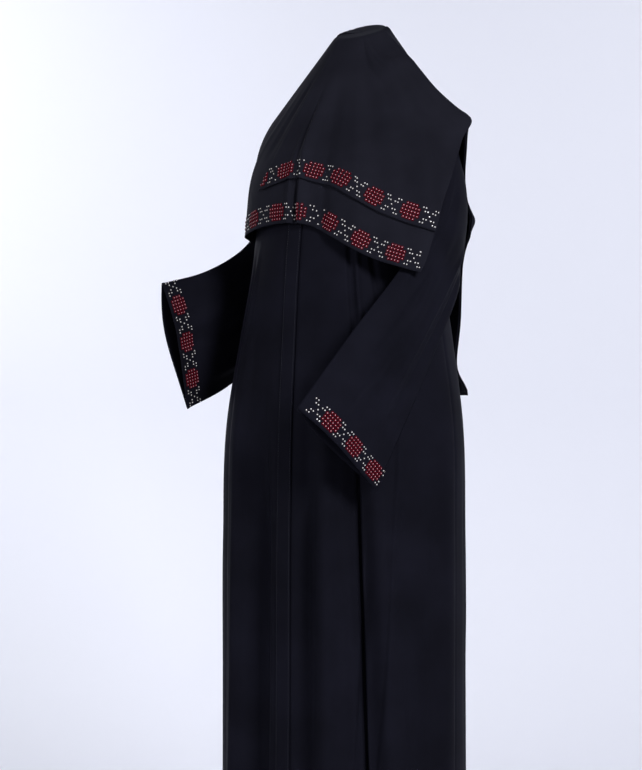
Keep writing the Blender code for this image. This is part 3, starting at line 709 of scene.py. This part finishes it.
def gridFaces(rows, columns, closed=False):
    # rows down and columns round from above give faces that look outwards
    i, j = np.meshgrid(np.arange(rows - 1), np.arange(columns if closed else columns - 1), indexing="ij")
    after = (j + 1) % columns
    row, below = i * columns, (i + 1) * columns
    return np.stack([row + j, below + j, below + after, row + after], -1).reshape(-1, 4).tolist()


def clothPiece(name, points, sizes, nodes, slot="crepe", closed=False, pole=False):
    # a grid of points as cloth, with its wall inside; at a pole the first row is one point
    columns = points.shape[1]
    body = points[1:] if pole else points
    faces = gridFaces(len(body), columns, closed)
    uv = np.stack([distances(body, axis=1), distances(body)], -1).reshape(-1, 2)
    places = body.reshape(-1, 3)
    if pole:
        places = np.concatenate([places, points[0, :1]])
        uv = np.concatenate([uv, [[0.0, 0.0]]])
        first = np.arange(columns if closed else columns - 1)
        faces += np.stack([0 * first + len(places) - 1, first, (first + 1) % columns], -1).tolist()
    piece = putMesh(name, places, faces, crepes[slot], uv)
    solid = piece.modifiers.new("wall", "SOLIDIFY")
    solid.thickness = sizes["wall"]
    solid.offset = -1.0
    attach(piece, "root")
    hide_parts(*nodes)
    return piece


def repeated(name, shape, faces, origins, axes, materials, second=()):
    # one small closed shape set down many times in its own directions; second lists its faces that take the
    # second material
    places = origins[:, None] + np.einsum("vk,nkc->nvc", shape, axes)
    offset = (np.arange(len(origins)) * len(shape))[:, None]
    allFaces, marks = [], []
    for k, face in enumerate(faces):
        allFaces += (offset + np.array(face)[None, :]).tolist()
        marks += [int(k in second)] * len(origins)
    piece = putMesh(name, places.reshape(-1, 3), allFaces, materials[0])
    for material in materials[1:]:
        piece.data.materials.append(material)
    piece.data.polygons.foreach_set("material_index", marks)
    piece.data.shade_flat()
    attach(piece, "root")
    return piece


# Robe's pieces.

frontRight = clothPiece("frontRight", panelPoints(-90, 0, "front"), robe, ["front_right"])
frontLeft = clothPiece("frontLeft", panelPoints(0, 90, "front"), robe, ["front_left"])
backPanel = clothPiece("backPanel", panelPoints(90, 270, "back"), robe, ["back"])
print("robe panels made")

placket = {
    "width": 0.026,
    "overlap": 0.001,  # past the middle line
    "lift": 0.0022,
    "wall": 0.001,
    "pressed": (0.0006, 0.001),  # depth and half width of the dip along a row of stitches
    "turned": 0.0008,  # how far the edges turn in, and over what width
    "puff": (0.0004, 61.0, 23.0),  # height of the waves between the rows, and their turns to the metre
    "puffFrom": (0.002, 0.006),  # from the edge, where they start and are whole
    # first and last distance from the outer edge, and count, of the edges' and the middle's columns
    "columns": [(0, 0.005, 11), (0.008, 0.019, 4), (0.022, 0.027, 11)],
    "rows": 240,
    "stitchFromEdge": 0.0022,
}


def placketPoints(across, z):
    # a strip of one width: the robe's surface at the angle whose sine is the distance across by the half
    # width, raised by the lift and slow waves, less a bell curve at each row of stitches and each edge
    halfWidth = smoothCurve(z, robe["sections"], 1)
    angle = np.degrees(np.arcsin(across / halfWidth))
    fromEdge = np.minimum(across + placket["width"], placket["overlap"] - across)
    (deep, half), turned, (high, fine, slow) = placket["pressed"], placket["turned"], placket["puff"]
    pressed = -deep * np.exp(-(((fromEdge - placket["stitchFromEdge"]) / half) ** 2))
    turned = -turned * np.exp(-((fromEdge / turned) ** 2))
    puff = high * np.sin(z * fine + np.sin(z * slow)) * easeIn(fromEdge, *placket["puffFrom"])
    return robePoints(angle, z, placket["lift"] + pressed + turned + puff)


def placketGrid():
    across = np.concatenate([np.linspace(*columns) for columns in placket["columns"]]) - placket["width"]
    heights = np.linspace(robe["neck"], robe["hem"], placket["rows"])
    return placketPoints(across[None, :], heights[:, None])


placketStrip = clothPiece("placketStrip", placketGrid(), placket, ["placket"])

stitch = {
    # ends and middle of one stitch, in halves of its length and width and in its height
    "shape": np.array([
        (-1, -0.6, -0.3), (-1, 0.6, -0.3), (1, 0.6, -0.3), (1, -0.6, -0.3),
        (-0.7, -0.5, 0.8), (-0.7, 0.5, 0.8), (0.7, 0.5, 0.8), (0.7, -0.5, 0.8),
    ]),
    "faces": [(0, 1, 2, 3), (4, 7, 6, 5), (0, 4, 5, 1), (1, 5, 6, 2), (2, 6, 7, 3), (3, 7, 4, 0)],
    "size": np.array([0.0013, 0.0003, 0.00035]),
    "spacing": 0.004,
    "fromEnd": 0.004,
    "beside": 0.0005,  # how far beside a stitch the cloth's slope is read
}


def stitchRow(name, place):
    # stitches laid end to end down the placket, a small gap between one and the next
    end = stitch["fromEnd"]
    heights = np.arange(robe["neck"] - end, robe["hem"] + end, -stitch["spacing"])[:, None]
    line, near = (placketPoints(np.array([[x]]), heights)[:, 0] for x in (place, place + stitch["beside"]))
    along = unit(np.gradient(line, axis=0))
    out = unit(np.cross(along, near - line))
    axes = np.stack([along, np.cross(out, along), out], 1)
    shape = stitch["shape"] * stitch["size"]
    return repeated(name, shape, stitch["faces"], line, axes, [sewingThread])


placketStitches = [
    stitchRow("placketStitchesOuter", placket["stitchFromEdge"] - placket["width"]),
    stitchRow("placketStitchesInner", placket["overlap"] - placket["stitchFromEdge"]),
]
print("placket made")

neckband = {
    "height": 0.016,
    "lean": 0.003,
    "wall": 0.0016,
    "gap": 0.0003,
    "roll": 0.0012,  # how far its top turns in, and from what share of the height
    "rollFrom": 0.8,
    "columns": 160,
    "rows": 10,
}


def neckbandPoints():
    # the robe's top edge, raised by a share of the height, moved in by that share of the lean and by the roll
    angle = np.linspace(0, 360, neckband["columns"], endpoint=False)[None, :]
    share = np.linspace(1, 0, neckband["rows"])[:, None]
    foot = robePoints(angle, np.array([[robe["neck"]]]))
    inward = unit(([0, robe["sections"][-1, 4], 0] - foot) * [1, 1, 0])
    lean = neckband["lean"] * share + neckband["roll"] * easeIn(share, neckband["rollFrom"], 1.0)
    raised = neckband["gap"] + neckband["height"] * share
    return foot + inward * lean[..., None] + [0, 0, 1] * raised[..., None]


neckBinding = clothPiece("neckBinding", neckbandPoints(), neckband, ["neckband"], closed=True)
print("neck binding made")

sleeveGrids = {"left": sleevePoints("left"), "right": sleevePoints("right")[:, ::-1]}
sleeveLeft = clothPiece("sleeveLeft", sleeveGrids["left"], sleeves, ["sleeve_left"], closed=True)
sleeveRight = clothPiece("sleeveRight", sleeveGrids["right"], sleeves, ["sleeve_right"], closed=True)
print("sleeves made")

veilGrids = {layer: veilGrid(layer) for layer in ("lower", "upper")}
lower, upper = veilGrids["lower"][1], veilGrids["upper"][1]
veilLower = clothPiece("veilLower", lower, veil, ["veil_lower"], "veil_crepe", closed=True, pole=True)
veilUpper = clothPiece("veilUpper", upper, veil, ["veil_upper"], "veil_crepe", pole=True)
print("veil made")


# Borders of stones on both ends of the veil and on both cuffs.

border = {
    # length of one red cluster and one gold cross
    "repeat": {"veilUpper": 0.068, "veilLower": 0.065, "sleeveLeft": 0.0575, "sleeveRight": 0.065},
    "repeats": 12,  # to either side of the first one
    "middle": 0.02,  # above the hem
    "clusterRows": (4, 6, 6, 6, 4),
    "clusterPitch": (0.0056, 0.0059),
    "crossPairs": [(0.011, 0.0126), (0.0066, 0.0065)],
    "pairGap": 0.0048,
    # the table of each stone carries a painted glint, so its share sets the glint's size
    "stones": {"Red": (0.0029, 0.25), "Gold": (0.0016, 0.6)},  # radius, and the table's share of it
    "sides": 8,
    "girdle": 0.2,  # heights of the girdle and the table, share of the radius
    "table": 0.55,
    "start": {"upper": -90, "lower": -78},  # direction where the veil's border starts
    "fromSelvage": 0.0165,  # the last cross's middle
    "cuffCross": {"left": 0.0275, "right": 0.012},  # the first one's, from the top of the arm
    "cuffBare": 0.0145,  # before that nothing is left
    "clear": 0.003,  # along the hem beside a seam or an edge
    "miss": 0.0008,  # a stone further than this from its place is left out
    "searches": 8,  # steps towards a place on the cloth
    # directions of the creases that hide cloth, and how much
    "tucks": {"upper": [(10.5, 0.018), (-1.5, 0.01), (-17, 0.008)], "lower": [(8, 0.008), (-1.5, 0.012)]},
}


def clusterSpots():
    # rows of stones, the first and the last one shorter, in a square grid
    (across, up), rows = border["clusterPitch"], border["clusterRows"]
    return np.array([
        ((i - (count - 1) / 2) * across, (k - len(rows) // 2) * up)
        for k, count in enumerate(rows) for i in range(count)
    ])


def crossSpots():
    # four arms of two pairs each, and one stone in the middle
    spots = [(0.0, 0.0)]
    half = border["pairGap"] / 2
    for x, y in border["crossPairs"]:
        spots += [(i * x + gap, j * y) for i in (-1, 1) for j in (-1, 1) for gap in (-half, half)]
    return np.array(spots)


def onCloth(grid, spots):
    # spots are (along the hem, up from it): square to the hem, then onto the grid's surface
    rows, columns = grid.shape[:2]
    u = np.interp(spots[:, 0], distances(grid[-1]), np.arange(columns))
    v = np.full(len(u), rows - 1.0)

    def read(u, v):
        i = np.clip(v.astype(int), 0, rows - 2)
        j = np.clip(u.astype(int), 0, columns - 2)
        s, t = (v - i)[:, None], (u - j)[:, None]
        a, b, c, d = grid[i, j], grid[i, j + 1], grid[i + 1, j], grid[i + 1, j + 1]
        point = (a * (1 - t) + b * t) * (1 - s) + (c * (1 - t) + d * t) * s
        return point, (b - a) * (1 - s) + (d - c) * s, (c - a) * (1 - t) + (d - b) * t

    point, alongHem, down = read(u, v)
    along = unit(alongHem)
    target = point + unit(along * (down * along).sum(1, keepdims=True) - down) * spots[:, 1:2]
    for _ in range(border["searches"]):
        point, du, dv = read(u, v)
        miss = target - point
        a, b, c = (du * du).sum(1), (du * dv).sum(1), (dv * dv).sum(1)
        p, q = (miss * du).sum(1), (miss * dv).sum(1)
        determinant = np.maximum(a * c - b * b, 1e-18)
        u = np.clip(u + (c * p - b * q) / determinant, 0, columns - 1.001)
        v = np.clip(v + (a * q - b * p) / determinant, 0, rows - 1.001)
    point, du, dv = read(u, v)
    x, out = unit(du), unit(np.cross(dv, du))
    miss = target - point
    miss = np.linalg.norm(miss - out * (miss * out).sum(1, keepdims=True), axis=1)
    kept = miss < border["miss"]
    return point[kept], np.stack([x, np.cross(out, x), out], 1)[kept]


def stoneShape(table):
    # a low round stone: flat back, short girdle, cut slope and flat table
    sides = border["sides"]
    turn = np.linspace(2 * np.pi, 0, sides, endpoint=False)
    rings = [(1.0, 0.0), (1.0, border["girdle"]), (table, border["table"])]
    shape = np.concatenate([
        np.stack([r * np.cos(turn), r * np.sin(turn), np.full(sides, h)], -1) for r, h in rings
    ])
    ends = [range(sides), range(2 * sides, 3 * sides)[::-1]]
    return shape, ends + gridFaces(len(rings), sides, closed=True)


def borderStones(name, grid, crossAt, bare, tucks=()):
    # clusters and crosses by turns along the hem, none on the bare stretches (from, to) nor in the cloth that
    # the tucks (place, width) hide
    repeat = border["repeat"][name]
    steps = np.arange(-border["repeats"], border["repeats"] + 1)
    made = []
    for kind, spots, ahead in (("Red", clusterSpots(), repeat / 2), ("Gold", crossSpots(), 0.0)):
        radius, table = border["stones"][kind]
        shape, faces = stoneShape(table)
        starts = np.stack([crossAt + ahead + steps * repeat, 0 * steps + border["middle"]], -1)
        places = (starts[:, None] + spots).reshape(-1, 2)
        for place, width in tucks:
            places = places[(places[:, 0] < place - width) | (places[:, 0] > place)]
            places[:, 0] += width * (places[:, 0] < place)
        for start, end in bare:
            places = places[(places[:, 0] < start) | (places[:, 0] > end)]
        points, axes = onCloth(grid, places)
        # the table face, the stone's second, takes the painted glint material
        made.append(repeated(
            name + kind + "Stones", shape * radius, faces, points, axes, glassAndPaintedGlints[kind], second=(1,)
        ))
        print(name, kind, "stones:", len(points))
    return made


def columnAt(directions, angle):
    return int(np.argmax(directions >= angle))


clear = border["clear"]
for name, layer in (("veilUpper", "upper"), ("veilLower", "lower")):
    # as far as the shoulder, so that the last cross finds its place beside the slanting selvage
    directions, grid = veilGrids[layer]
    selvage = veil["selvages"][layer]
    first, last = columnAt(directions, border["start"][layer]), columnAt(directions, selvage[-1, 0])
    grid = grid[:, first:last + 1]
    arc = distances(grid[-1])
    hemLength = arc[columnAt(directions, selvage[0, 0]) - first]
    tucks = [(arc[columnAt(directions, a) - first], width) for a, width in border["tucks"][layer]]
    bare = [(-1, clear), (hemLength - clear, hemLength + 1)]
    borderStones(name, grid, hemLength - border["fromSelvage"], bare, tucks)

for name, side in (("sleeveLeft", "left"), ("sleeveRight", "right")):
    # from the fold along the top of the arm, round the side that faces the camera first
    grid = sleeveGrids[side]
    grid = np.concatenate([grid, grid[:, :1]] if side == "left" else [grid[:, -1:], grid], axis=1)
    lengths = distances(grid[-1])
    seam, whole = lengths[len(lengths) // 2], lengths[-1]
    crossAt = border["cuffCross"][side]
    start = max(0.0, crossAt - border["cuffBare"])
    bare = [(-1, start), (seam - clear, seam + clear), (whole - clear, whole + 1)]
    borderStones(name, grid, crossAt, bare)
print("borders made")


# Studio: a pale sweep of paper behind and under the robe, and soft lights.

studio = {
    "floor": -1.43,
    "front": -3.5,  # the sweep's near edge and its wall, from the body's axis
    "behind": 2.2,
    "bend": 0.9,  # radius
    "bendSteps": 24,
    "width": 9.0,
    "columns": 5,
    "height": 3.2,
    "colour": "#f1f2f6",
    "roughness": 0.9,
    "world": "#e8ebfa",
    "worldStrength": 0.1,
    "spread": 95.0,  # degrees, of the lights on the sweep
    # name, place, aim, size, watts, colour
    "lights": [
        ("key", (2.75, -1.5, 1.0), (0, 0, -0.5), 0.9, 80.0, "#f2f3ff"),
        ("front", (-1.5, -2.9, 0.5), (0, 0, -0.5), 0.9, 26.0, "#f2f3ff"),
        ("top", (0.5, 0.1, 2.3), (0, 0, 0), 1.2, 5.0, "#f2f3ff"),
        ("rim", (2.3, 2.0, 0.2), (0, 0, -0.2), 0.8, 3.0, "#dfe6ff"),
        ("sweepLeft", (-2.9, -0.5, 1.1), (-1.5, 2.4, -0.7), 2.0, 30.0, "#f6f8ff"),
        ("sweepRight", (2.4, 0.6, 2.1), (1.5, 2.6, 0.9), 2.0, 21.0, "#f6f8ff"),
    ],
}


def makeSweep():
    # level from before the robe, up in a quarter circle and on upwards, turned to the camera: in the bend it
    # has run by the sine of its angle and risen by one less the cosine
    turn = math.radians(cameraView["turn"])
    bend = np.linspace(0, np.pi / 2, studio["bendSteps"])
    radius, wall = studio["bend"], studio["behind"]
    run = np.r_[studio["front"], wall - radius + radius * np.sin(bend), wall]
    rise = np.r_[0, radius * (1 - np.cos(bend)), studio["height"]]
    side = np.linspace(studio["width"] / 2, -studio["width"] / 2, studio["columns"])
    r, s = np.meshgrid(np.arange(len(run)), side, indexing="ij")
    x = -run[r] * math.sin(turn) + s * math.cos(turn)
    y = run[r] * math.cos(turn) + s * math.sin(turn)
    places = np.stack([x, y, studio["floor"] + rise[r]], -1).reshape(-1, 3)
    # matt paper off the roll: an even pale ground without shine
    settings = {"Base Color": linear(studio["colour"]), "Roughness": studio["roughness"]}
    paper = newMaterial("sweepPaper", settings)[0]
    sweep = putMesh("sweep", places, gridFaces(len(run), len(side)), paper)


def lightStudio():
    world = bpy.data.worlds.new("studio")
    bpy.context.scene.world = world
    world.use_nodes = True
    inputs = world.node_tree.nodes["Background"].inputs
    inputs["Color"].default_value = linear(studio["world"])
    inputs["Strength"].default_value = studio["worldStrength"]
    for name, place, aim, size, watts, colour in studio["lights"]:
        light = bpy.data.lights.new(name, "AREA")
        light.energy = watts
        light.size = size
        light.color = linear(colour)[:3]
        if name.startswith("sweep"):
            light.spread = math.radians(studio["spread"])
        putAimed(light, place, Vector(aim) - Vector(place))


makeSweep()
lightStudio()
bpy.context.scene.view_settings.view_transform = "Standard"
print("studio made")
